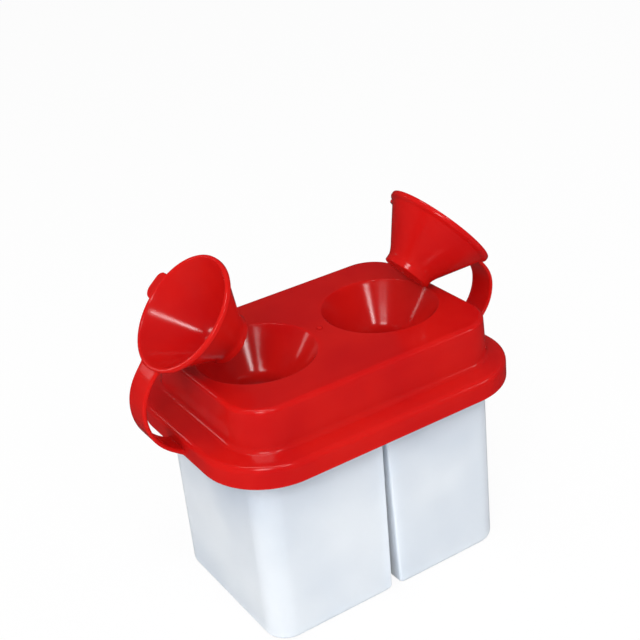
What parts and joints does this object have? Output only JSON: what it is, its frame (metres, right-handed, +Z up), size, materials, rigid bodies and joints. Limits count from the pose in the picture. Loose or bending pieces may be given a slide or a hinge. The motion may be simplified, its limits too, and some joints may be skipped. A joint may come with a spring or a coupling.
{
  "type": "brush washer with lid",
  "caption": "Two-well water pot for paint brushes, with a wide flanged lid, funnel holes that rest brushes upright and cone stoppers on flexible straps.",
  "frame": {"origin": "centre of the underside that the pot stands on", "axes": "+Z up, X along the long side from the left well to the right well, +Y towards the side with the stoppers' finger tabs, which is the back"},
  "size_m": [0.1477, 0.0882, 0.1344],
  "materials": {
    "milky_plastic": "milky translucent polypropylene, satin",
    "red_plastic": "glossy red moulded polyethylene"
  },
  "bodies": {
    "pot": {"container": "milky_plastic"},
    "lid": {"lid": "red_plastic"},
    "left_stopper": {"stopper_left": "red_plastic", "strap_left": "red_plastic"},
    "right_stopper": {"stopper_right": "red_plastic", "strap_right": "red_plastic"}
  },
  "joints": [
    {"name": "lid_lift", "type": "slide", "parent": "pot", "child": "lid", "axis": [0, 0, 1], "range_m": [0, 0.04]},
    {"name": "left_stopper_hinge", "type": "hinge", "parent": "lid", "child": "left_stopper", "pos_m": [-0.0652, 0, 0.07805], "axis": [0, -1, 0], "range_deg": [-44.7, 55.3], "deforming": ["strap_left"]},
    {"name": "right_stopper_hinge", "type": "hinge", "parent": "lid", "child": "right_stopper", "pos_m": [0.06195, 0, 0.07625], "axis": [0, 1, 0], "range_deg": [-50, 50], "deforming": ["strap_right"]}
  ]
}
